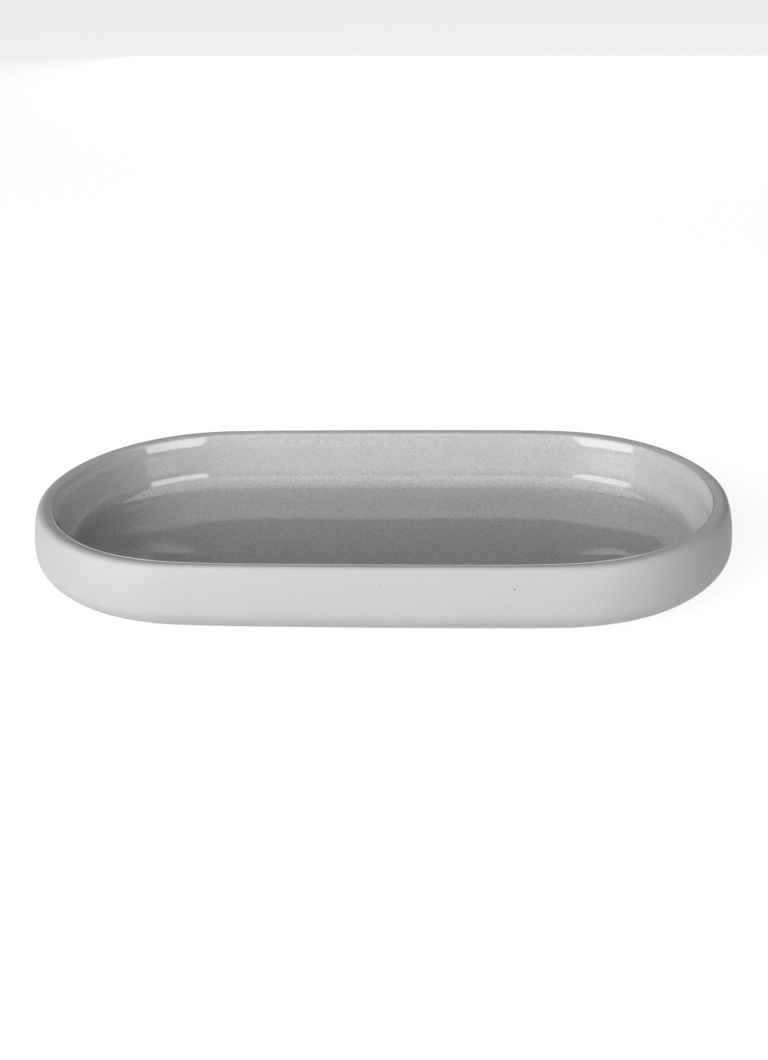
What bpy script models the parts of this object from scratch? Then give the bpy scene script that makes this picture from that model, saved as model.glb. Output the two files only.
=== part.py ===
"""Oblong ceramic soap dish: a low pill-shaped tray with a glossy glazed well and a matt outside.

Metres, +Z up, origin at the middle of the plane that the dish stands on, long side along X.
The fired clay body carries three separate coats: the glossy glaze of the well, the matt glaze
of the outside and rim, and the matt glaze of the recessed underside. Between the last two the
foot ring is bare clay. Four soft pads sit in the recess and stand a little below the foot.

A section is a list of (inset, height) points. The inset runs inwards from the widest outline,
so the same section can be carried all round the dish at an even distance from that outline.
A slope is how steeply a section falls as it runs inwards, from 0 where it is level.
"""

import math

import bmesh
import bpy

# Overall sizes
LENGTH = 0.190
WIDTH = 0.096
RIM_HEIGHT = 0.023
SIDE_BOW = 0.0005

# Outside wall, and the rim with the matt band that falls from its crown to the glaze line
BELLY_HEIGHT = 0.0115
CROWN_INSET = 0.00245
RIM_ROUND = 0.0011
BAND_START = math.radians(9)
BAND_WIDTH = 0.0030
BAND_FALL = 0.00086

# Well: a rounded edge at the glaze line, a long shoulder, a straight wall, a fillet and a dish
EDGE_ROUND = 0.0008
SHOULDER_SLOPE = math.radians(64)
SHOULDER_RADIUS = 0.0109
WALL_DRAFT = math.radians(2)
FILLET_RADIUS = 0.0062
DISH_SLOPE = math.radians(8)
FLOOR_FLAT = 0.003
BASE_THICKNESS = 0.003

# Coats and the clearance kept under and between them
COAT_THICKNESS = 0.0004
COAT_CLEARANCE = 0.0003

# Foot ring and underside
FOOT_INSET = 0.020
FOOT_WIDTH = 0.0045
FOOT_DROP = 0.0007
FOOT_ROUND = 0.0004
UNDERSIDE_RECESS = 0.0008

# Pads
PAD_DIAMETER = 0.010
PAD_PROUD = 0.0005
PAD_ROUND = 0.0003
PAD_MARGIN = 0.0035
PAD_CLEARANCE = 0.0003
PAD_ANGLE = math.radians(55)

# Counts of facets
END_STEPS = 12
SIDE_STEPS = 3
UNDER_STEPS = 8
WALL_STEPS = 3
RIM_STEPS = 3
BAND_STEPS = 2
EDGE_STEPS = 2
SHOULDER_STEPS = 3
FILLET_STEPS = 6
DISH_STEPS = 4
FOOT_STEPS = 3
PAD_SEGMENTS = 24
PAD_ROUND_SEGMENTS = 2

# The widest outline: two end arcs joined by two side arcs that bow out a little
HALF_LENGTH = LENGTH / 2
HALF_WIDTH = WIDTH / 2
END_RADIUS = HALF_WIDTH - SIDE_BOW
END_CENTRE_X = HALF_LENGTH - END_RADIUS
SIDE_RADIUS = (END_CENTRE_X**2 + HALF_WIDTH**2 - END_RADIUS**2) / (2 * SIDE_BOW)
SIDE_CENTRE_Y = HALF_WIDTH - SIDE_RADIUS
TANGENT_ANGLE = math.atan2(-SIDE_CENTRE_Y, END_CENTRE_X)

# Heights above the plane that the dish stands on
FOOT_HEIGHT = PAD_PROUD
COAT_EDGE_HEIGHT = FOOT_HEIGHT + FOOT_DROP
UNDERSIDE_HEIGHT = FOOT_HEIGHT + UNDERSIDE_RECESS
FLOOR_HEIGHT = UNDERSIDE_HEIGHT + BASE_THICKNESS
COAT_SPACE = COAT_THICKNESS + COAT_CLEARANCE

# Turns
QUARTER = math.pi / 2
WALL_SLOPE = QUARTER - WALL_DRAFT

# Points closer than this are one point
TOUCH = LENGTH / 1e6
MERGE = LENGTH / 1e5


def clear_scene():
    """Removes whatever the scene holds."""
    for obj in list(bpy.data.objects):
        bpy.data.objects.remove(obj, do_unlink=True)


def make_material(name, colour, roughness, coat=0.0):
    """A Principled material of one colour."""
    material = bpy.data.materials.new(name)
    material.use_nodes = True
    shader = material.node_tree.nodes["Principled BSDF"]
    shader.inputs["Base Color"].default_value = (*colour, 1.0)
    shader.inputs["Roughness"].default_value = roughness
    shader.inputs["Metallic"].default_value = 0.0
    shader.inputs["Coat Weight"].default_value = coat
    return material


def arc(centre, radii, start, end, steps):
    """Section points on an arc. Angle 0 is its outermost point and a quarter turn is its top."""
    points = []
    for step in range(steps + 1):
        angle = start + (end - start) * step / steps
        inset = centre[0] - radii[0] * math.cos(angle)
        height = centre[1] + radii[1] * math.sin(angle)
        points.append((inset, height))
    return points


def bend(start, first_slope, last_slope, radius, steps):
    """Section points that run inwards and down on an arc, from one slope to another.

    The radius is positive where the section gets steeper and negative where it gets flatter.
    """
    points = []
    for step in range(steps + 1):
        slope = first_slope + (last_slope - first_slope) * step / steps
        inset = start[0] + radius * (math.sin(slope) - math.sin(first_slope))
        height = start[1] - radius * (math.cos(first_slope) - math.cos(slope))
        points.append((inset, height))
    return points


def joined(*runs):
    """Runs of section points as one run, with no point twice."""
    points = []
    for run in runs:
        for point in run:
            if not points or math.dist(points[-1], point) > TOUCH:
                points.append(point)
    return points


def directions(points):
    """The section's direction at each point: the mean of the runs before and after it."""
    runs = []
    for here, there in zip(points, points[1:]):
        size = math.dist(here, there)
        runs.append(((there[0] - here[0]) / size, (there[1] - here[1]) / size))
    found = []
    for before, after in zip(runs[:1] + runs, runs + runs[-1:]):
        inwards = before[0] + after[0]
        upwards = before[1] + after[1]
        size = math.hypot(inwards, upwards)
        found.append((inwards / size, upwards / size))
    return found


def moved_in(points, distance):
    """The section moved sideways by this distance, to the right of its direction."""
    moved = []
    for (inset, height), (inwards, upwards) in zip(points, directions(points)):
        moved.append((inset + distance * upwards, height - distance * inwards))
    return moved


def band_arc():
    """The matt band on one arc: its first point, its chord's length and its slope at the line."""
    start_inset = CROWN_INSET + RIM_ROUND * math.sin(BAND_START)
    start_height = RIM_HEIGHT - RIM_ROUND * (1 - math.cos(BAND_START))
    run = CROWN_INSET + BAND_WIDTH - start_inset
    fall = start_height - RIM_HEIGHT + BAND_FALL
    last_slope = 2 * math.atan2(fall, run) - BAND_START
    return (start_inset, start_height), math.hypot(run, fall), last_slope


def outside_section():
    """The outer face from the foot up: a quarter ellipse, a leaning wall, the rim and its band."""
    rise = RIM_HEIGHT - BELLY_HEIGHT - RIM_ROUND
    wall_radius = (CROWN_INSET**2 + rise**2 - RIM_ROUND**2) / (2 * (CROWN_INSET - RIM_ROUND))
    lean = math.atan2(rise, wall_radius - CROWN_INSET)
    under_radii = (FOOT_INSET, BELLY_HEIGHT - COAT_EDGE_HEIGHT)
    under = arc((FOOT_INSET, BELLY_HEIGHT), under_radii, -QUARTER, 0, UNDER_STEPS)
    wall_radii = (wall_radius, wall_radius)
    wall = arc((wall_radius, BELLY_HEIGHT), wall_radii, 0, lean, WALL_STEPS)
    rim_centre = (CROWN_INSET, RIM_HEIGHT - RIM_ROUND)
    rim = arc(rim_centre, (RIM_ROUND, RIM_ROUND), lean, QUARTER, RIM_STEPS)
    start, chord, last_slope = band_arc()
    radius = chord / (2 * math.sin((last_slope - BAND_START) / 2))
    band = bend(start, BAND_START, last_slope, radius, BAND_STEPS)
    return joined(under, wall, rim, band)


def well_section():
    """The glossy face from the glaze line down to the flat middle of the floor."""
    start, chord, edge_slope = band_arc()
    line = (CROWN_INSET + BAND_WIDTH, RIM_HEIGHT - BAND_FALL)
    edge = bend(line, edge_slope, SHOULDER_SLOPE, EDGE_ROUND, EDGE_STEPS)
    shoulder = bend(edge[-1], SHOULDER_SLOPE, WALL_SLOPE, SHOULDER_RADIUS, SHOULDER_STEPS)
    fillet_run = FILLET_RADIUS * (math.sin(WALL_SLOPE) - math.sin(DISH_SLOPE))
    fillet_fall = FILLET_RADIUS * (math.cos(DISH_SLOPE) - math.cos(WALL_SLOPE))
    # The wall's fall and the dish's run over a flat floor
    wall_inset, wall_height = shoulder[-1]
    level_fall = wall_height - FLOOR_HEIGHT - fillet_fall
    level_run = END_RADIUS - FLOOR_FLAT - wall_inset - fillet_run
    # The dish's own fall shortens the wall, and a shorter wall lets the dish run further
    dish_share = math.tan(DISH_SLOPE / 2)
    draft_share = math.tan(WALL_DRAFT)
    dish_fall = dish_share * (level_run - draft_share * level_fall) / (1 - dish_share * draft_share)
    wall_fall = level_fall - dish_fall
    foot = (wall_inset + draft_share * wall_fall, wall_height - wall_fall)
    fillet = bend(foot, WALL_SLOPE, DISH_SLOPE, -FILLET_RADIUS, FILLET_STEPS)
    dish_radius = dish_fall / (1 - math.cos(DISH_SLOPE))
    dish = bend(fillet[-1], DISH_SLOPE, 0, -dish_radius, DISH_STEPS)
    return joined(edge, shoulder, fillet, dish)


def body_section():
    """The clay from the middle of the well's floor, over the rim, to the middle of the underside."""
    skin = joined(outside_section(), well_section())
    over = list(reversed(moved_in(skin, COAT_SPACE)))
    foot_outer = FOOT_INSET + COAT_CLEARANCE
    foot_inner = foot_outer + FOOT_WIDTH
    round_height = FOOT_HEIGHT + FOOT_ROUND
    round_radii = (FOOT_ROUND, FOOT_ROUND)
    foot_top = [(foot_outer, COAT_EDGE_HEIGHT + COAT_SPACE)]
    outer_centre = (foot_outer + FOOT_ROUND, round_height)
    outer_round = arc(outer_centre, round_radii, 0, -QUARTER, FOOT_STEPS)
    inner_centre = (foot_inner - FOOT_ROUND, round_height)
    inner_round = arc(inner_centre, (-FOOT_ROUND, FOOT_ROUND), -QUARTER, 0, FOOT_STEPS)
    recess = [(foot_inner, UNDERSIDE_HEIGHT + COAT_SPACE)]
    return joined(over, foot_top, outer_round, inner_round, recess)


def matt_section():
    """The outer face with its band ending a clearance short of the glaze line."""
    section = outside_section()
    last_slope = band_arc()[2]
    inset, height = section[-1]
    inset -= COAT_CLEARANCE * math.cos(last_slope)
    height += COAT_CLEARANCE * math.sin(last_slope)
    return section[:-1] + [(inset, height)]


def fill_middle(bm, height):
    """Closes the flat middle of the quarter with one face out to the dish's centre."""
    ring = []
    for edge in bm.edges:
        level = all(abs(vert.co.z - height) < TOUCH for vert in edge.verts)
        on_x = all(abs(vert.co.x) < TOUCH for vert in edge.verts)
        on_y = all(abs(vert.co.y) < TOUCH for vert in edge.verts)
        if level and len(edge.link_faces) < 2 and not on_x and not on_y:
            ring.append(edge)
    ring_verts = {vert for edge in ring for vert in edge.verts}
    start = max(ring_verts, key=lambda vert: vert.co.x)
    end = max(ring_verts, key=lambda vert: vert.co.y)
    middle = bm.verts.new((0, 0, height))
    spokes = [bm.edges.new((middle, start)), bm.edges.new((end, middle))]
    bmesh.ops.contextual_create(bm, geom=ring + spokes)


def swept_mesh(name, section, flat_heights):
    """The section carried round a quarter of the outline, with its flat middles closed."""
    bm = bmesh.new()
    verts = [bm.verts.new((HALF_LENGTH - inset, 0, height)) for inset, height in section]
    edges = [bm.edges.new(pair) for pair in zip(verts, verts[1:])]
    end_turn = bmesh.ops.spin(
        bm,
        geom=verts + edges,
        cent=(END_CENTRE_X, 0, 0),
        axis=(0, 0, 1),
        angle=TANGENT_ANGLE,
        steps=END_STEPS,
    )
    side_turn = bmesh.ops.spin(
        bm,
        geom=end_turn["geom_last"],
        cent=(0, SIDE_CENTRE_Y, 0),
        axis=(0, 0, 1),
        angle=QUARTER - TANGENT_ANGLE,
        steps=SIDE_STEPS,
    )
    for item in side_turn["geom_last"]:
        if isinstance(item, bmesh.types.BMVert):
            item.co.x = 0
    for height in flat_heights:
        fill_middle(bm, height)
    bmesh.ops.recalc_face_normals(bm, faces=bm.faces)
    bm.faces.ensure_lookup_table()
    top_face = max(bm.faces, key=lambda face: face.calc_center_median().z)
    if top_face.normal.z < 0:
        bmesh.ops.reverse_faces(bm, faces=bm.faces)
    mesh = bpy.data.meshes.new(name)
    bm.to_mesh(mesh)
    bm.free()
    mesh.shade_smooth()
    mesh.set_sharp_from_angle(angle=math.radians(40))
    return mesh


def add_part(name, mesh, material, collection, parent):
    """One named piece of the dish."""
    part = bpy.data.objects.new(name, mesh)
    if not mesh.materials:
        mesh.materials.append(material)
    collection.objects.link(part)
    part.parent = parent
    return part


def mirror_quarter(part):
    """Completes a quarter across both middle planes."""
    mirror = part.modifiers.new("both_halves", "MIRROR")
    mirror.use_axis = (True, True, False)
    mirror.merge_threshold = MERGE


def give_coat(part, side):
    """Gives a coat's face its thickness, below it for -1 and above it for 1."""
    solidify = part.modifiers.new("coat", "SOLIDIFY")
    solidify.thickness = COAT_THICKNESS
    solidify.offset = side
    solidify.use_even_offset = True
    solidify.use_rim = True


def pad_mesh(name):
    """A soft round pad, before its edges are rounded."""
    top = UNDERSIDE_HEIGHT - PAD_CLEARANCE
    bm = bmesh.new()
    made = bmesh.ops.create_cone(
        bm,
        cap_ends=True,
        cap_tris=False,
        segments=PAD_SEGMENTS,
        radius1=PAD_DIAMETER / 2,
        radius2=PAD_DIAMETER / 2,
        depth=top,
    )
    bmesh.ops.translate(bm, verts=made["verts"], vec=(0, 0, top / 2))
    mesh = bpy.data.meshes.new(name)
    bm.to_mesh(mesh)
    bm.free()
    mesh.shade_smooth()
    mesh.set_sharp_from_angle(angle=math.radians(60))
    return mesh


def build():
    clear_scene()
    collection = bpy.data.collections.new("soap_dish")
    bpy.context.scene.collection.children.link(collection)
    origin = bpy.data.objects.new("soap_dish_origin", None)
    collection.objects.link(origin)

    clay = make_material("fired_clay", (0.70, 0.66, 0.60), 0.85)
    gloss = make_material("gloss_glaze", (0.60, 0.59, 0.58), 0.08, 0.5)
    matt = make_material("matt_glaze", (0.66, 0.665, 0.67), 0.55)
    matt_under = make_material("matt_glaze_underside", (0.66, 0.665, 0.67), 0.55)
    soft = make_material("pad_silicone", (0.72, 0.73, 0.73), 0.45)

    # Clay body
    section = body_section()
    flats = (section[0][1], section[-1][1])
    mesh = swept_mesh("ceramic_body", section, flats)
    body = add_part("ceramic_body", mesh, clay, collection, origin)
    mirror_quarter(body)

    # Glossy glaze of the well
    section = well_section()
    mesh = swept_mesh("interior_glaze", section, (section[-1][1],))
    glaze = add_part("interior_glaze", mesh, gloss, collection, origin)
    mirror_quarter(glaze)
    give_coat(glaze, -1)

    # Matt glaze of the outside, which ends on the rim beside the glossy glaze
    mesh = swept_mesh("outer_matt_glaze", matt_section(), ())
    outer = add_part("outer_matt_glaze", mesh, matt, collection, origin)
    mirror_quarter(outer)
    give_coat(outer, -1)

    # Matt glaze of the recess inside the foot ring
    recess_inset = FOOT_INSET + COAT_CLEARANCE + FOOT_WIDTH + COAT_CLEARANCE
    section = [(recess_inset, UNDERSIDE_HEIGHT)]
    mesh = swept_mesh("underside_glaze", section, (UNDERSIDE_HEIGHT,))
    under = add_part("underside_glaze", mesh, matt_under, collection, origin)
    mirror_quarter(under)
    give_coat(under, 1)

    # Pads on a line parallel to the end of the recess
    pad_reach = END_RADIUS - recess_inset - PAD_MARGIN - PAD_DIAMETER / 2
    pad_x = END_CENTRE_X + pad_reach * math.cos(PAD_ANGLE)
    pad_y = pad_reach * math.sin(PAD_ANGLE)
    mesh = pad_mesh("pad")
    places = {
        "pad_front_left": (-pad_x, -pad_y, 0),
        "pad_front_right": (pad_x, -pad_y, 0),
        "pad_rear_left": (-pad_x, pad_y, 0),
        "pad_rear_right": (pad_x, pad_y, 0),
    }
    for name, place in places.items():
        pad = add_part(name, mesh, soft, collection, origin)
        pad.location = place
        rounding = pad.modifiers.new("edge", "BEVEL")
        rounding.width = PAD_ROUND
        rounding.segments = PAD_ROUND_SEGMENTS
        rounding.limit_method = "ANGLE"


build()
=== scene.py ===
"""Ceramic soap dish: the fine surfaces, glazes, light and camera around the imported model.

The clay body and its three coats are each one section carried round the dish's outline. A section
is a row of stations. Each station has an inset from the widest outline, a share of the way on from
there to the dish's middle line, a height, a share of the fired floor's unevenness, a share of the
rim's draw, which is how much further in the rim sits round the ends than along the sides, and a
fall for each metre of the way to the middle line. Metres, +Z up, long side along X.
A slope is how steeply a section falls as it runs inwards, from 0 where it is level.
"""

import math

import bmesh
import bpy
import numpy as np
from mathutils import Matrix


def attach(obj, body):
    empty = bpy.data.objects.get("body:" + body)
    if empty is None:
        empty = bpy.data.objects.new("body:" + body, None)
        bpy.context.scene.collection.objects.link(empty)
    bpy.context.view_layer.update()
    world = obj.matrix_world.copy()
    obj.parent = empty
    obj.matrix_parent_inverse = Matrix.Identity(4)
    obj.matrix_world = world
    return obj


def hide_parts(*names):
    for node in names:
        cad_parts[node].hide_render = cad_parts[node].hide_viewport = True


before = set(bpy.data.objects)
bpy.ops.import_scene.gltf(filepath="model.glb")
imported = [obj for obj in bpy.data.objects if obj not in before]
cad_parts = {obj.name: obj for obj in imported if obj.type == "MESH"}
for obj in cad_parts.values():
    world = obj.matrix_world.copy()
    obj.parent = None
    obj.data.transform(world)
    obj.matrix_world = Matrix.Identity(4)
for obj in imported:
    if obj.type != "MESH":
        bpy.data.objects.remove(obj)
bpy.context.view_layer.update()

# Overall sizes, as in the solid model
LENGTH = 0.190
WIDTH = 0.096
RIM_HEIGHT = 0.023
SIDE_BOW = 0.0005

# Outside wall and rim
BELLY_HEIGHT = 0.0115
CROWN_INSET = 0.00275
RIM_ROUND = 0.0013

# Matt band that falls, steeper and steeper, from the rim's crown to the glaze line
BAND_START = math.radians(9)
BAND_WIDTH = 0.00155
BAND_FALL = 0.00040
LINE_INSET = CROWN_INSET + BAND_WIDTH
LINE_HEIGHT = RIM_HEIGHT - BAND_FALL

# Draw of the rim round the ends: its size, the crown's share of it, the height where it starts, and
# the distances from the dish's middle between which it grows
RIM_DRAW = 0.00105
CROWN_DRAW = 0.6
DRAW_HEIGHT = 0.0195
DRAW_FROM = 0.035
DRAW_TO = 0.062

# Groove between the two glazes, and the bead where the glossy one begins, with the share of its
# height that stays further in
GROOVE_DEPTH = 0.00014
GROOVE_WIDTH = 0.00030
BEAD_HEIGHT = 0.00017
BEAD_LENGTH = 0.0007
BEAD_REST = 0.35

# Well
EDGE_ROUND = 0.0009
SHOULDER_SLOPE = math.radians(60.5)
SHOULDER_RADIUS = 0.0073
WALL_SLOPE = math.radians(93)
FILLET_TOP = 0.0130
FILLET_RADIUS = 0.0062
DISH_SLOPE = math.radians(8.1)

# Waves of the floor: their height, and the share of the way over which they set in
FLOOR_WAVE = 0.00002
WAVE_ONSET = 0.25

# Round an end, how far past the arc's centre its sections meet the middle line, and how much
# shorter the way counts there, so that the dished floor stays smooth
END_REACH = 0.020
END_RISE = 0.25

# Coats, and the bond that keeps them clear of the clay
COAT_THICKNESS = 0.0004
BOND = 0.00002

# Foot, underside and pads
FOOT_HEIGHT = 0.0005
COAT_EDGE_HEIGHT = 0.0012
FOOT_INSET = 0.020
FOOT_STEP = 0.0001
FOOT_WIDTH = 0.0045
FOOT_ROUND = 0.0004
UNDERSIDE_HEIGHT = 0.0013
UNDERSIDE_EDGE = 0.0252
PAD_RADIUS = 0.005
PAD_ROUND = 0.0003
PAD_HOLLOW_RADIUS = 0.00275
PAD_HOLLOW_DEPTH = 0.00012
PAD_PLACE = (0.05547, 0.01139)

# Heights where the glossy glaze starts to darken and is fully dark: painted shade, with pooled glaze
POOL_SHADE_TOP = 0.0125
POOL_SHADE_FULL = 0.0065

# Pinholes in the outer glaze, painted dark as the shade in them: their x, height and radius
PINHOLES = [(0.0356, 0.0180, 0.00042), (0.0765, 0.0099, 0.00028), (0.003, 0.019, 0.0002)]

# Colours
MATT_GREY = (0.688, 0.69, 0.702)
# Dark of the glaze's own specks, and painted shade inside its pinholes
SPECK_AND_PINHOLE_SHADE = (0.16, 0.155, 0.15)
GLOSS_GREY = (0.75, 0.755, 0.76)
# Dark grey of the fillet and floor: painted shade, together with glaze pooled there
POOLED_SHADE_GREY = (0.51, 0.493, 0.497)
CLAY_BUFF = (0.70, 0.66, 0.60)
IRON_BROWN = (0.33, 0.25, 0.19)
SILICONE_GREY = (0.72, 0.73, 0.73)
DUST_WHITE = (0.88, 0.87, 0.85)
STAGE_GREY = (0.62, 0.62, 0.62)

# Counts of stations round each end arc, each side arc and a pad
END_STATIONS = 120
SIDE_STATIONS = 80
PAD_STATIONS = 72

# Counts of points along the stretches of the sections
UNDER_POINTS = 36
LEANING_POINTS = 30
RIM_POINTS = 18
CROWN_POINTS = 4
BAND_POINTS = 26
EDGE_POINTS = 14
SHOULDER_POINTS = 28
STEEP_POINTS = 9
FILLET_POINTS = 30
FLOOR_POINTS = 34
HIDDEN_FLOOR_POINTS = 20
CLAY_BASE_POINTS = 12
RECESS_POINTS = 14
ROUND_POINTS = 8

# The band's points crowd towards the glaze line by this power of the share that is left
BAND_CROWDING = 1.6

# The widest outline: two end arcs joined by two side arcs that bow out a little
HALF_LENGTH = LENGTH / 2
HALF_WIDTH = WIDTH / 2
END_RADIUS = HALF_WIDTH - SIDE_BOW
END_CENTRE_X = HALF_LENGTH - END_RADIUS
SIDE_RADIUS = (END_CENTRE_X**2 + HALF_WIDTH**2 - END_RADIUS**2) / (2 * SIDE_BOW)
SIDE_CENTRE_Y = HALF_WIDTH - SIDE_RADIUS
TANGENT_ANGLE = math.atan2(-SIDE_CENTRE_Y, END_CENTRE_X)
QUARTER = math.pi / 2


def outline_arcs():
    """For each station round the dish: its arc's centre x and y and radius, the direction a out from
    that centre, and the x of the point on the middle line that its section runs to. That is
    centre x + reach * cos a round an end, and -centre y / tan a along a side. The left end and the
    front side are the right end and the rear side turned by half a turn."""
    end = np.linspace(-TANGENT_ANGLE, TANGENT_ANGLE, END_STATIONS, endpoint=False)
    side = np.linspace(TANGENT_ANGLE, math.pi - TANGENT_ANGLE, SIDE_STATIONS, endpoint=False)
    end_middle_x = END_CENTRE_X + END_REACH * np.cos(end)
    side_middle_x = -SIDE_CENTRE_Y / np.tan(side)
    end_rows = np.stack(np.broadcast_arrays(END_CENTRE_X, 0.0, END_RADIUS, end, end_middle_x))
    side_rows = np.stack(np.broadcast_arrays(0.0, SIDE_CENTRE_Y, SIDE_RADIUS, side, side_middle_x))
    half = np.concatenate([end_rows, side_rows], axis=1)
    sign = np.array([-1, -1, 1, 1, -1])[:, None]
    turn = np.array([0, 0, 0, math.pi, 0])[:, None]
    return np.concatenate([half, half * sign + turn], axis=1)


def floor_waves(x, y):
    """Slow unevenness of the fired floor: crossed sine waves of a few centimetres each."""
    waves = np.sin(118 * x + 41 * y + 0.6) * np.sin(23 * x - 96 * y + 1.9)
    return waves + 0.6 * np.sin(61 * x - 155 * y + 4.1) + 0.25 * np.sin(233 * x + 88 * y + 2.2)


def swept(name, stations, material, closed_section=False):
    """A piece from stations of (inset, share to the middle line, height, share of the waves, share
    of the draw, fall). The point at station v and place u is C(u) + (R(u) - inset - draw) *
    (cos a, sin a), moved by the share towards the middle line. Its height is the station's, less
    the fall times the way, plus the wave there. The way is the one to the middle line, and round
    an end it is (R - inset - draw) * (1 - rise * t^2 * (3 - 2 t)), with t = |cos a|. The draw grows
    along the dish as (1 - cos(pi t)) / 2, with t from 0 to 1 where it starts and ends."""
    inset, share, height, wave, draw, fall = np.asarray(stations, float).T
    centre_x, centre_y, radius, angle, middle_x = outline_arcs()
    along = (np.abs(centre_x + radius * np.cos(angle)) - DRAW_FROM) / (DRAW_TO - DRAW_FROM)
    full_draw = RIM_DRAW * (1 - np.cos(math.pi * along.clip(0, 1))) / 2
    reach = radius[:, None] - inset[None, :] - full_draw[:, None] * draw[None, :]
    x = centre_x[:, None] + reach * np.cos(angle)[:, None]
    y = centre_y[:, None] + reach * np.sin(angle)[:, None]
    turn = np.abs(np.cos(angle))
    end_way = reach * (1 - END_RISE * turn**2 * (3 - 2 * turn))[:, None]
    way = np.where(centre_y[:, None] == 0, end_way, np.hypot(middle_x[:, None] - x, y))
    x = x + share[None, :] * (middle_x[:, None] - x)
    y = y * (1 - share[None, :])
    z = height[None, :] - fall[None, :] * way + FLOOR_WAVE * wave[None, :] * floor_waves(x, y)
    return grid_piece(name, np.stack([x, y, z], -1), material, closed_section)


def grid_piece(name, points, material, closed_section):
    """A mesh from a grid of points that closes on itself round the piece, and along its section
    too where that is closed. Points that fall together at a middle line or a pole become one."""
    around, along = points.shape[:2]
    number = np.arange(around * along).reshape(around, along)
    after = np.roll(number, -1, axis=0)
    if closed_section:
        here, there = number, after
        here_next, there_next = np.roll(number, -1, axis=1), np.roll(after, -1, axis=1)
    else:
        here, there = number[:, :-1], after[:, :-1]
        here_next, there_next = number[:, 1:], after[:, 1:]
    quads = np.stack([here, there, there_next, here_next], -1).reshape(-1, 4)
    mesh = bpy.data.meshes.new(name)
    mesh.from_pydata(points.reshape(-1, 3), [], quads)
    bm = bmesh.new()
    bm.from_mesh(mesh)
    bmesh.ops.remove_doubles(bm, verts=bm.verts, dist=1e-7)
    bmesh.ops.recalc_face_normals(bm, faces=bm.faces)
    bm.to_mesh(mesh)
    bm.free()
    mesh.shade_smooth()
    mesh.materials.append(material)
    piece = bpy.data.objects.new(name, mesh)
    bpy.context.scene.collection.objects.link(piece)
    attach(piece, "root")
    return piece


def arc(centre, radii, start, end, count):
    """Section points on an arc. Angle 0 is its outermost point and a quarter turn is its top."""
    angle = np.linspace(start, end, count)
    inset = centre[0] - radii[0] * np.cos(angle)
    height = centre[1] + radii[1] * np.sin(angle)
    return np.stack([inset, height], -1)


def bend_at(start, slope, radius):
    """Section points that run inwards and down on an arc, where it has these slopes. The first is
    its slope at the start. The radius is positive where the section gets steeper and negative
    where it gets flatter."""
    inset = start[0] + radius * (np.sin(slope) - math.sin(slope[0]))
    height = start[1] - radius * (math.cos(slope[0]) - np.cos(slope))
    return np.stack([inset, height], -1)


def bend(start, first_slope, last_slope, radius, count):
    """Evenly spaced section points on such an arc, from one slope to the other."""
    return bend_at(start, np.linspace(first_slope, last_slope, count), radius)


def length_along(section):
    """Each section point's distance along the section from its first point."""
    return np.concatenate([[0], np.cumsum(np.linalg.norm(np.diff(section, axis=0), axis=1))])


def band_arc():
    """The matt band on one arc: its first point, its radius and its slope at the glaze line."""
    start = np.array([
        CROWN_INSET + RIM_ROUND * math.sin(BAND_START),
        RIM_HEIGHT - RIM_ROUND * (1 - math.cos(BAND_START)),
    ])
    run = LINE_INSET - start[0]
    fall = start[1] - LINE_HEIGHT
    last_slope = 2 * math.atan2(fall, run) - BAND_START
    radius = math.hypot(run, fall) / (2 * math.sin((last_slope - BAND_START) / 2))
    return start, radius, last_slope


def outside_section():
    """The outer face from the foot up: a quarter ellipse, a leaning wall arc, the rim's rounding,
    and the band, whose last points drop into the groove as the square of their nearness to the
    glaze line. Beside it, each point's share of the draw. That grows as the square of the way from
    where the draw starts up to the crown's share, and beyond the crown evenly with the inset, to 1
    at the glaze line."""
    rise = RIM_HEIGHT - RIM_ROUND - BELLY_HEIGHT
    wall_radius = (CROWN_INSET**2 + rise**2 - RIM_ROUND**2) / (2 * (CROWN_INSET - RIM_ROUND))
    lean = math.atan2(rise, wall_radius - CROWN_INSET)
    under_radii = (FOOT_INSET, BELLY_HEIGHT - COAT_EDGE_HEIGHT)
    under = arc((FOOT_INSET, BELLY_HEIGHT), under_radii, -QUARTER, 0, UNDER_POINTS)
    wall_radii = (wall_radius, wall_radius)
    wall = arc((wall_radius, BELLY_HEIGHT), wall_radii, 0, lean, LEANING_POINTS)
    rim_centre = (CROWN_INSET, RIM_HEIGHT - RIM_ROUND)
    rim = arc(rim_centre, (RIM_ROUND, RIM_ROUND), lean, QUARTER, RIM_POINTS)
    crown = bend(rim[-1], 0, BAND_START, RIM_ROUND, CROWN_POINTS)
    start, radius, last_slope = band_arc()
    crowded = 1 - np.linspace(1, 0, BAND_POINTS) ** BAND_CROWDING
    band = bend_at(start, BAND_START + (last_slope - BAND_START) * crowded, radius)
    nearness = (1 - (LINE_INSET - band[:, 0]) / GROOVE_WIDTH).clip(0)
    band[:, 1] -= GROOVE_DEPTH * nearness**2
    section = np.concatenate([under, wall[1:], rim[1:], crown[1:], band[1:]])
    way = length_along(section)
    way_to_crown = way[np.argmax(section[:, 1])]
    way_to_start = way[np.argmax(section[:, 1] > DRAW_HEIGHT)]
    part = ((way - way_to_start) / (way_to_crown - way_to_start)).clip(0, 1)
    beyond = ((section[:, 0] - CROWN_INSET) / BAND_WIDTH).clip(0, 1)
    return section, CROWN_DRAW * part**2 + (1 - CROWN_DRAW) * beyond


def front_point(x, height):
    """The point of the front outer face at this x and height, right of the dish's middle and below
    where the draw starts."""
    section = outside_section()[0]
    count = np.argmax(section[:, 1]) + 1
    inset = np.interp(height, section[:count, 1], section[:count, 0])
    if x < END_CENTRE_X:
        y = -SIDE_CENTRE_Y - math.sqrt((SIDE_RADIUS - inset) ** 2 - x**2)
    else:
        y = -math.sqrt((END_RADIUS - inset) ** 2 - (x - END_CENTRE_X) ** 2)
    return x, y, height


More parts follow.
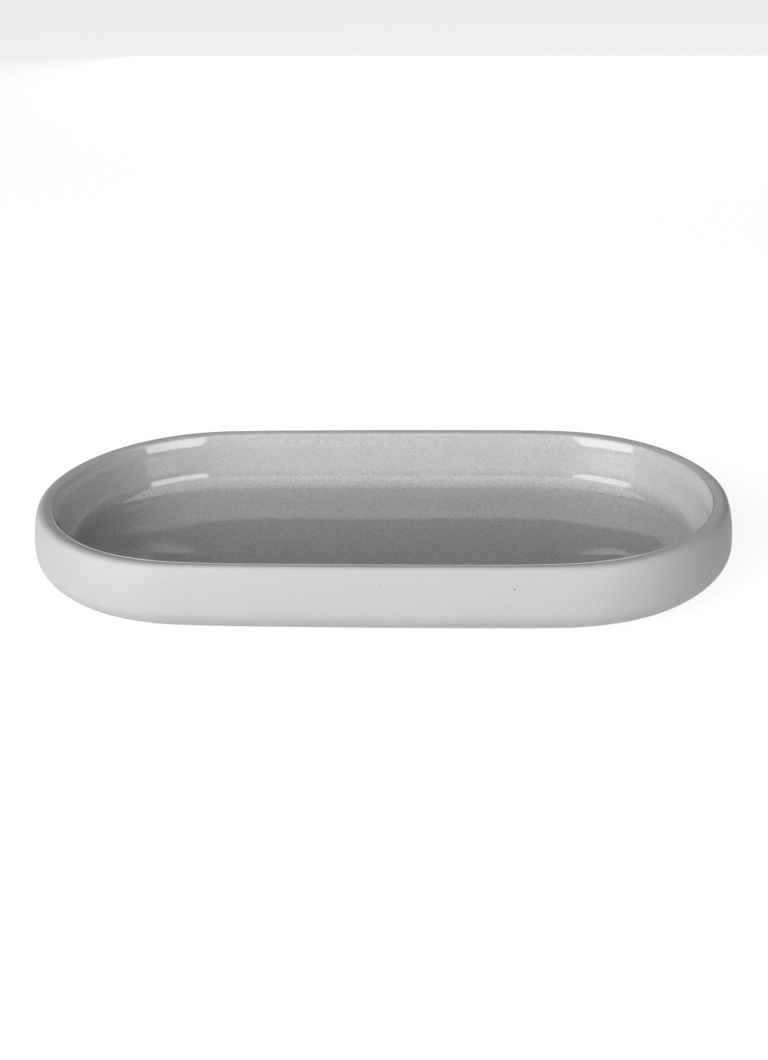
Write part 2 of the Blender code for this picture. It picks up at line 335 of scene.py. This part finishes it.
def well_section():
    """The glossy face from the glaze line to the fillet's end: edge, shoulder, wall and fillet."""
    last_slope = band_arc()[2]
    line = (LINE_INSET, LINE_HEIGHT)
    edge = bend(line, last_slope, SHOULDER_SLOPE, EDGE_ROUND, EDGE_POINTS)
    shoulder = bend(edge[-1], SHOULDER_SLOPE, WALL_SLOPE, SHOULDER_RADIUS, SHOULDER_POINTS)
    fall = shoulder[-1, 1] - FILLET_TOP
    foot = shoulder[-1] + np.array([fall / math.tan(WALL_SLOPE), -fall])
    wall = np.linspace(shoulder[-1], foot, STEEP_POINTS)
    fillet = bend(foot, WALL_SLOPE, DISH_SLOPE, -FILLET_RADIUS, FILLET_POINTS)
    return np.concatenate([edge, shoulder[1:], wall[1:], fillet[1:]])


def normals_of(section):
    """Unit vectors to the left of the section's direction."""
    along = np.gradient(section, axis=0)
    along = along / np.linalg.norm(along, axis=1)[:, None]
    return np.stack([-along[:, 1], along[:, 0]], -1)


def stations_of(section, share=0.0, wave=0.0, draw=1.0, fall=0.0):
    """Section points as stations, with one value or a row of values for each of the rest."""
    inset, height = section.T
    return np.stack(np.broadcast_arrays(inset, share, height, wave, draw, fall), -1)


def level_stations(inset, height, share):
    """Stations at one inset and height, undrawn, at these shares of the way to the middle line."""
    section = np.broadcast_to([inset, height], (len(share), 2))
    return stations_of(section, share, draw=0)


def dish_stations(edge, count, wave):
    """The floor from the fillet's end to the middle line. Its slope is the dish slope times
    (1 - s^4)^2 at share s, so it falls by s - 2 s^5 / 5 + s^9 / 9 times that slope and the way."""
    share = np.linspace(0, 1, count)[1:]
    fall = math.tan(DISH_SLOPE) * (share - 2 * share**5 / 5 + share**9 / 9)
    section = np.broadcast_to(edge, (count - 1, 2))
    return stations_of(section, share, wave * np.clip(share / WAVE_ONSET, 0, 1), fall=fall)


def gloss_stations():
    """The glossy coat: underneath from the middle line out with every third point, up its edge in
    the groove, over the bead and down the well. The bead's lift at a distance d from the line is a
    quarter round times rest + (1 - rest) / (1 + (d / length)^2)."""
    face = well_section()
    normal = normals_of(face)
    distance = length_along(face)
    rise = BEAD_HEIGHT * np.sqrt(1 - (1 - distance / BEAD_HEIGHT).clip(0) ** 2)
    lift = rise * (BEAD_REST + (1 - BEAD_REST) / (1 + (distance / BEAD_LENGTH) ** 2))
    top = face + normal * lift[:, None]
    groove = face[:1] - normal[:1] * GROOVE_DEPTH
    under = face - normal * COAT_THICKNESS
    return np.concatenate([
        dish_stations(under[-1], HIDDEN_FLOOR_POINTS, 0)[::-1],
        stations_of(under[::-3]),
        stations_of(groove),
        stations_of(top),
        dish_stations(top[-1], FLOOR_POINTS, 1),
    ])


def matt_stations():
    """The matt coat: up the outer face to the groove and back along its inner face with every
    second point."""
    face, draw = outside_section()
    inner = face - normals_of(face) * COAT_THICKNESS
    return np.concatenate([stations_of(face, draw=draw), stations_of(inner[::-2], draw=draw[::-2])])


def clay_stations():
    """The fired clay from the underside's middle line, round the bare foot ring and over the rim,
    to the well's middle line. It lies a bond's width under the coats and keeps every second of
    their points."""
    depth = COAT_THICKNESS + BOND
    outside, draw = outside_section()
    outside = outside - normals_of(outside) * depth
    well = well_section()
    well = well - normals_of(well) * depth
    under_height = UNDERSIDE_HEIGHT + depth
    foot_outer = FOOT_INSET + FOOT_STEP
    foot_inner = foot_outer + FOOT_WIDTH
    round_height = FOOT_HEIGHT + FOOT_ROUND
    inner_centre = (foot_inner - FOOT_ROUND, round_height)
    outer_centre = (foot_outer + FOOT_ROUND, round_height)
    inner_round = arc(inner_centre, (-FOOT_ROUND, FOOT_ROUND), 0, -QUARTER, ROUND_POINTS)
    outer_round = arc(outer_centre, (FOOT_ROUND, FOOT_ROUND), -QUARTER, 0, ROUND_POINTS)
    foot = np.concatenate([[(foot_inner, under_height)], inner_round, outer_round])
    return np.concatenate([
        level_stations(foot_inner, under_height, np.linspace(1, 0, CLAY_BASE_POINTS)),
        stations_of(foot, draw=0),
        stations_of(outside[3::2], draw=draw[3::2]),
        stations_of(well[1::2]),
        dish_stations(well[-1], HIDDEN_FLOOR_POINTS, 0),
    ])


def underside_stations():
    """The coat of the recess: its lower face out from the middle line, a thinning edge, and back."""
    share = np.linspace(1, 0, RECESS_POINTS)
    upper_height = UNDERSIDE_HEIGHT + COAT_THICKNESS
    edge_radii = (COAT_THICKNESS / 2, COAT_THICKNESS)
    edge = arc((UNDERSIDE_EDGE, upper_height), edge_radii, -QUARTER, 0, ROUND_POINTS)
    return np.concatenate([
        level_stations(UNDERSIDE_EDGE, UNDERSIDE_HEIGHT, share),
        stations_of(edge[1:], draw=0),
        level_stations(UNDERSIDE_EDGE, upper_height, share[::-1]),
    ])


def pad_piece(name, place, material):
    """A soft pad turned about its own axis: profile radius r and height h at each angle a give
    (x + r cos a, y + r sin a, h). Its lower face is level, with a shallow moulded hollow."""
    top = UNDERSIDE_HEIGHT
    turn = np.linspace(0, QUARTER, ROUND_POINTS)
    low_round = np.stack([
        PAD_RADIUS - PAD_ROUND + PAD_ROUND * np.sin(turn),
        PAD_ROUND - PAD_ROUND * np.cos(turn),
    ], -1)
    high_round = low_round[::-1] * np.array([1, -1]) + np.array([0, top])
    hollow = np.stack([PAD_HOLLOW_RADIUS * np.sin(turn), PAD_HOLLOW_DEPTH * np.cos(turn) ** 2], -1)
    profile = np.concatenate([hollow, low_round, high_round, [(0, top)]])
    angle = np.linspace(0, 2 * math.pi, PAD_STATIONS, endpoint=False)
    x = place[0] + profile[None, :, 0] * np.cos(angle)[:, None]
    y = place[1] + profile[None, :, 0] * np.sin(angle)[:, None]
    z = np.broadcast_to(profile[None, :, 1], x.shape)
    return grid_piece(name, np.stack([x, y, z], -1), material, False)


def add_node(tree, kind, inputs=None, **settings):
    """A node with its settings. Each input is a value or another node's output."""
    node = tree.nodes.new(kind)
    for name, value in settings.items():
        setattr(node, name, value)
    for name, value in (inputs or {}).items():
        if isinstance(value, bpy.types.NodeSocket):
            tree.links.new(value, node.inputs[name])
        else:
            node.inputs[name].default_value = value
    return node


def new_group(name, inputs, outputs):
    """An empty node group with named sockets, and its input and output nodes."""
    group = bpy.data.node_groups.new(name, "ShaderNodeTree")
    for socket_name, kind in inputs:
        group.interface.new_socket(socket_name, in_out="INPUT", socket_type="NodeSocket" + kind)
    for socket_name, kind in outputs:
        group.interface.new_socket(socket_name, in_out="OUTPUT", socket_type="NodeSocket" + kind)
    return group, group.nodes.new("NodeGroupInput").outputs, group.nodes.new("NodeGroupOutput").inputs


def grouped(tree, group, inputs):
    """The outputs of a node group placed in a material with its own values."""
    return add_node(tree, "ShaderNodeGroup", inputs, node_tree=group).outputs


def math_node(tree, operation, first, second):
    """One operation on two values or outputs."""
    return add_node(tree, "ShaderNodeMath", {0: first, 1: second}, operation=operation).outputs[0]


def mixed(tree, factor, first, second):
    """Two colours mixed by a factor."""
    inputs = {0: factor, 6: first, 7: second}
    return add_node(tree, "ShaderNodeMix", inputs, data_type="RGBA").outputs[2]


def ranged(tree, value, low, high):
    """A value from 0 to 1 stretched to run from low to high."""
    inputs = {"Value": value, "To Min": low, "To Max": high}
    return add_node(tree, "ShaderNodeMapRange", inputs).outputs["Result"]


def eased(tree, value, start, end):
    """0 where a value is at its start, 1 where it is at its end, and smooth in between."""
    inputs = {"Value": value, "From Min": start, "From Max": end}
    node = add_node(tree, "ShaderNodeMapRange", inputs, interpolation_type="SMOOTHSTEP")
    return node.outputs["Result"]


def uneven(tree, noise, contrast):
    """What a noise adds to a shade: contrast * (noise - 1/2)."""
    return math_node(tree, "MULTIPLY", math_node(tree, "SUBTRACT", noise, 0.5), contrast)


def make_grain_group():
    """Fired grain: a colour times 1 + fine contrast * (fine noise - 1/2) + slow contrast * (slow
    noise - 1/2). It also gives both noises."""
    sockets = [
        ("Vector", "Vector"), ("Colour", "Color"), ("Fine Scale", "Float"), ("Fine Contrast", "Float"),
        ("Slow Scale", "Float"), ("Slow Contrast", "Float"),
    ]
    results = [("Colour", "Color"), ("Fine", "Float"), ("Slow", "Float")]
    group, given, result = new_group("fired_grain", sockets, results)
    fine = add_node(group, "ShaderNodeTexNoise", {
        "Vector": given["Vector"], "Scale": given["Fine Scale"], "Detail": 3.0, "Roughness": 0.6,
    }).outputs["Fac"]
    slow = add_node(group, "ShaderNodeTexNoise", {
        "Vector": given["Vector"], "Scale": given["Slow Scale"], "Detail": 2.0,
    }).outputs["Fac"]
    fine_part = uneven(group, fine, given["Fine Contrast"])
    slow_part = uneven(group, slow, given["Slow Contrast"])
    shade = math_node(group, "ADD", math_node(group, "ADD", fine_part, slow_part), 1.0)
    inputs = {0: given["Colour"], "Scale": shade}
    colour = add_node(group, "ShaderNodeVectorMath", inputs, operation="SCALE")
    group.links.new(colour.outputs["Vector"], result["Colour"])
    group.links.new(fine, result["Fine"])
    group.links.new(slow, result["Slow"])
    return group


def make_speck_group():
    """Sparse specks: a mask that is 1 near the middle of a share of the cells of a cell pattern."""
    sockets = [("Vector", "Vector"), ("Scale", "Float"), ("Share", "Float"), ("Radius", "Float")]
    group, given, result = new_group("sparse_specks", sockets, [("Mask", "Float")])
    inputs = {"Vector": given["Vector"], "Scale": given["Scale"]}
    cells = add_node(group, "ShaderNodeTexVoronoi", inputs)
    chance = add_node(group, "ShaderNodeSeparateColor", {"Color": cells.outputs["Color"]})
    chosen = math_node(group, "LESS_THAN", chance.outputs["Red"], given["Share"])
    near = eased(group, cells.outputs["Distance"], given["Radius"], 0.0)
    group.links.new(math_node(group, "MULTIPLY", near, chosen), result["Mask"])
    return group


def make_pinhole_group():
    """One pinhole: a mask that is 1 at a place and falls to 0 at a radius from it. It marks the
    painted shade inside the hole.
    """
    sockets = [("Vector", "Vector"), ("Place", "Vector"), ("Radius", "Float")]
    group, given, result = new_group("pinhole", sockets, [("Mask", "Float")])
    inputs = {0: given["Vector"], 1: given["Place"]}
    away = add_node(group, "ShaderNodeVectorMath", inputs, operation="DISTANCE").outputs["Value"]
    group.links.new(eased(group, away, given["Radius"], 0.0), result["Mask"])
    return group


def shader(name, colour, roughness):
    """A new material, its node tree, its Principled shader and its object coordinates."""
    material = bpy.data.materials.new(name)
    material.use_nodes = True
    tree = material.node_tree
    principled = tree.nodes["Principled BSDF"]
    principled.inputs["Base Color"].default_value = (*colour, 1)
    principled.inputs["Roughness"].default_value = roughness
    place = tree.nodes.new("ShaderNodeTexCoord").outputs["Object"]
    return material, tree, principled, place


def bumped(tree, principled, height, distance):
    """A bump from a height of 0 to 1 that stands for this distance."""
    bump = add_node(tree, "ShaderNodeBump", {"Height": height, "Distance": distance})
    tree.links.new(bump.outputs["Normal"], principled.inputs["Normal"])


grain = make_grain_group()
specks = make_speck_group()
pinhole = make_pinhole_group()


def matt_glaze_material(name, pinholes):
    """Matt glaze: a soft even grey with a fine grain, slow tone changes, a few dark specks, and
    pinholes at their places, painted dark as the shade inside them."""
    material, tree, principled, place = shader(name, MATT_GREY, 0.5)
    fired = grouped(tree, grain, {
        "Vector": place, "Colour": (*MATT_GREY, 1), "Fine Scale": 2400.0, "Fine Contrast": 0.20,
        "Slow Scale": 42.0, "Slow Contrast": 0.05,
    })
    inputs = {"Vector": place, "Scale": 260.0, "Share": 0.02, "Radius": 0.05}
    dots = grouped(tree, specks, inputs)["Mask"]
    # Pinholes are painted dark: painted shade inside them
    for centre, radius in pinholes:
        inputs = {"Vector": place, "Place": centre, "Radius": radius}
        dots = math_node(tree, "MAXIMUM", dots, grouped(tree, pinhole, inputs)["Mask"])
    shaded = mixed(tree, dots, fired["Colour"], (*SPECK_AND_PINHOLE_SHADE, 1))
    tree.links.new(shaded, principled.inputs["Base Color"])
    tree.links.new(ranged(tree, fired["Fine"], 0.44, 0.60), principled.inputs["Roughness"])
    bumped(tree, principled, math_node(tree, "SUBTRACT", fired["Fine"], dots), 0.00002)
    return material


def gloss_glaze_material():
    """Glossy glaze: a mottled grey that turns darker, warmer and grainier in the fillet and on the
    floor, the darkening being painted shade together with glaze pooled there, with a fine
    orange-peel surface."""
    material, tree, principled, place = shader("gloss_glaze", GLOSS_GREY, 0.06)
    principled.inputs["IOR"].default_value = 2.0
    height = add_node(tree, "ShaderNodeSeparateXYZ", {"Vector": place}).outputs["Z"]
    # Painted shade, with pooled glaze: the well darkens from the fillet's top down to the floor
    pooled_shade = eased(tree, height, POOL_SHADE_TOP, POOL_SHADE_FULL)
    depth = mixed(tree, pooled_shade, (*GLOSS_GREY, 1), (*POOLED_SHADE_GREY, 1))
    contrast = ranged(tree, pooled_shade, 0.65, 1.30)
    fired = grouped(tree, grain, {
        "Vector": place, "Colour": depth, "Fine Scale": 1900.0, "Fine Contrast": contrast,
        "Slow Scale": 55.0, "Slow Contrast": 0.10,
    })
    tree.links.new(fired["Colour"], principled.inputs["Base Color"])
    tree.links.new(ranged(tree, fired["Fine"], 0.045, 0.085), principled.inputs["Roughness"])
    peel = add_node(tree, "ShaderNodeTexNoise", {"Vector": place, "Scale": 330.0, "Detail": 1.0})
    bumped(tree, principled, peel.outputs["Fac"], 0.00001)
    return material


def clay_material():
    """Fired clay: a warm pale grain with iron specks."""
    material, tree, principled, place = shader("fired_clay", CLAY_BUFF, 0.85)
    fired = grouped(tree, grain, {
        "Vector": place, "Colour": (*CLAY_BUFF, 1), "Fine Scale": 3200.0, "Fine Contrast": 0.35,
        "Slow Scale": 90.0, "Slow Contrast": 0.12,
    })
    inputs = {"Vector": place, "Scale": 700.0, "Share": 0.06, "Radius": 0.22}
    dots = grouped(tree, specks, inputs)["Mask"]
    shaded = mixed(tree, dots, fired["Colour"], (*IRON_BROWN, 1))
    tree.links.new(shaded, principled.inputs["Base Color"])
    tree.links.new(ranged(tree, fired["Fine"], 0.75, 0.95), principled.inputs["Roughness"])
    bumped(tree, principled, fired["Fine"], 0.00005)
    return material


def silicone_material():
    """Pad silicone: a pale grey with faint dust and a soft sheen."""
    material, tree, principled, place = shader("pad_silicone", SILICONE_GREY, 0.4)
    fired = grouped(tree, grain, {
        "Vector": place, "Colour": (*SILICONE_GREY, 1), "Fine Scale": 1400.0, "Fine Contrast": 0.16,
        "Slow Scale": 240.0, "Slow Contrast": 0.10,
    })
    inputs = {"Vector": place, "Scale": 1500.0, "Share": 0.10, "Radius": 0.25}
    dust = math_node(tree, "MULTIPLY", grouped(tree, specks, inputs)["Mask"], 0.35)
    shaded = mixed(tree, dust, fired["Colour"], (*DUST_WHITE, 1))
    tree.links.new(shaded, principled.inputs["Base Color"])
    tree.links.new(ranged(tree, fired["Slow"], 0.30, 0.52), principled.inputs["Roughness"])
    bumped(tree, principled, fired["Fine"], 0.00001)
    return material


holes = [(front_point(x, height), radius) for x, height, radius in PINHOLES]
matt_glaze = matt_glaze_material("matt_glaze", holes)
matt_underside = matt_glaze_material("matt_glaze_underside", [])
gloss_glaze = gloss_glaze_material()
clay = clay_material()
silicone = silicone_material()

outer = swept("matt_outer_coat", matt_stations(), matt_glaze, True)
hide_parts("outer_matt_glaze")
well_coat = swept("gloss_well_coat", gloss_stations(), gloss_glaze)
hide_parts("interior_glaze")
body = swept("clay_body", clay_stations(), clay)
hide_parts("ceramic_body")
recess_coat = swept("underside_coat", underside_stations(), matt_underside)
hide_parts("underside_glaze")
for end_name, end_side in (("left", -1), ("right", 1)):
    for row_name, row_side in (("front", -1), ("rear", 1)):
        pad_place = (end_side * PAD_PLACE[0], row_side * PAD_PLACE[1])
        pad = pad_piece("soft_pad_" + row_name + "_" + end_name, pad_place, silicone)
        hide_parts("pad_" + row_name + "_" + end_name)


# Distances of the lamps from the dish's middle. The glints stand a little nearer than the soft
# boxes, because two lamps at the same place hide each other from mirrored rays.
LAMP_DISTANCE = 1.2
GLINT_DISTANCE = 1.18


def soft_box(name, azimuth, elevation, width, height, watts, distance=LAMP_DISTANCE, mirrored=False):
    """A rectangular area lamp facing the dish. Azimuth 0 is straight in front, turning right. A
    mirrored one shows only in reflections, and any other lights surfaces without showing there."""
    lamp = bpy.data.lights.new(name, "AREA")
    lamp.shape = "RECTANGLE"
    lamp.size = width
    lamp.size_y = height
    lamp.energy = watts
    lamp_object = bpy.data.objects.new(name, lamp)
    turn = math.radians(azimuth)
    climb = math.radians(elevation)
    lamp_object.location = (
        distance * math.sin(turn) * math.cos(climb),
        -distance * math.cos(turn) * math.cos(climb),
        distance * math.sin(climb),
    )
    lamp_object.rotation_euler = (QUARTER - climb, 0, turn)
    lamp_object.visible_camera = False
    lamp_object.visible_glossy = mirrored
    lamp_object.visible_diffuse = not mirrored
    bpy.context.scene.collection.objects.link(lamp_object)


soft_box("left_soft_box", -45, 19, 1.0, 0.73, 6.9)
soft_box("right_soft_box", 33, 19, 0.94, 0.73, 2.5)
soft_box("left_glint", -43.5, 19, 0.88, 0.66, 4.0, GLINT_DISTANCE, mirrored=True)
soft_box("right_glint", 35, 19, 0.88, 0.66, 4.2, GLINT_DISTANCE, mirrored=True)
soft_box("high_fill", -30, 38, 1.2, 0.53, 3.7)
soft_box("low_fill", -15, 12, 0.64, 0.53, 1.6)
soft_box("rear_fill", 170, 14, 1.2, 0.73, 2.6)
soft_box("overhead_sheen", 0, 70, 2.6, 1.6, 11.8, mirrored=True)

# The world is dim as light, a little brighter mirrored in the glaze, and white to the camera
ROOM_LIGHT = 0.03
MIRRORED_ROOM = 0.20
world = bpy.data.worlds.new("studio")
bpy.context.scene.world = world
world.use_nodes = True
world_tree = world.node_tree
background = world_tree.nodes["Background"]
background.inputs["Color"].default_value = (1, 1, 1, 1)
world_ray = world_tree.nodes.new("ShaderNodeLightPath").outputs
bent = math_node(world_tree, "MAXIMUM", world_ray["Is Glossy Ray"], world_ray["Is Transmission Ray"])
extra = math_node(world_tree, "MULTIPLY", bent, MIRRORED_ROOM - ROOM_LIGHT)
room = math_node(world_tree, "ADD", extra, ROOM_LIGHT)
strength = math_node(world_tree, "MAXIMUM", room, world_ray["Is Camera Ray"])
world_tree.links.new(strength, background.inputs["Strength"])

# The floor glows to the camera and in the glaze, and gives off no light otherwise
STAGE_HALF = 6
STAGE_GLOW = 0.80
floor_mesh = bpy.data.meshes.new("floor")
corners = [(STAGE_HALF * x, STAGE_HALF * y, 0) for x, y in ((-1, -1), (1, -1), (1, 1), (-1, 1))]
floor_mesh.from_pydata(corners, [], [(0, 1, 2, 3)])
floor = bpy.data.objects.new("floor", floor_mesh)
bpy.context.scene.collection.objects.link(floor)
floor_material, floor_tree, floor_shader = shader("floor", STAGE_GREY, 0.9)[:3]
floor_mesh.materials.append(floor_material)
floor_ray = floor_tree.nodes.new("ShaderNodeLightPath").outputs
seen = math_node(floor_tree, "MAXIMUM", floor_ray["Is Camera Ray"], floor_ray["Is Glossy Ray"])
seen = math_node(floor_tree, "MAXIMUM", seen, floor_ray["Is Transmission Ray"])
glow = math_node(floor_tree, "MULTIPLY", seen, STAGE_GLOW)
floor_shader.inputs["Emission Color"].default_value = (1, 1, 1, 1)
floor_tree.links.new(glow, floor_shader.inputs["Emission Strength"])

# The camera stands where the photograph's perspective puts it. The origin lies DISTANCE in front
# of it, SLIDE_X to the right of its axis and SLIDE_Y above it.
FRAME_HEIGHT = 1060
FOCAL_PIXELS = 1342.73
SENSOR = 36
AZIMUTH = math.radians(4.201)
ELEVATION = math.radians(25.509)
ROLL = math.radians(-1.6345)
SLIDE_X = -0.0007079
SLIDE_Y = -0.0100855
DISTANCE = 0.3760679
right = np.array([math.cos(AZIMUTH), math.sin(AZIMUTH), 0])
back = np.array([
    math.sin(AZIMUTH) * math.cos(ELEVATION),
    -math.cos(AZIMUTH) * math.cos(ELEVATION),
    math.sin(ELEVATION),
])
up = np.cross(back, right)
turned_right = math.cos(ROLL) * right + math.sin(ROLL) * up
turned_up = -math.sin(ROLL) * right + math.cos(ROLL) * up
camera_place = DISTANCE * back - SLIDE_X * turned_right - SLIDE_Y * turned_up
lens = bpy.data.cameras.new("camera")
lens.sensor_width = SENSOR
lens.lens = FOCAL_PIXELS / FRAME_HEIGHT * SENSOR
lens.clip_start = 0.01
camera = bpy.data.objects.new("camera", lens)
bpy.context.scene.collection.objects.link(camera)
matrix = np.eye(4)
matrix[:3] = np.stack([turned_right, turned_up, back, camera_place], -1)
camera.matrix_world = [list(column) for column in matrix.T]
bpy.context.scene.camera = camera
bpy.context.scene.view_settings.view_transform = "Standard"
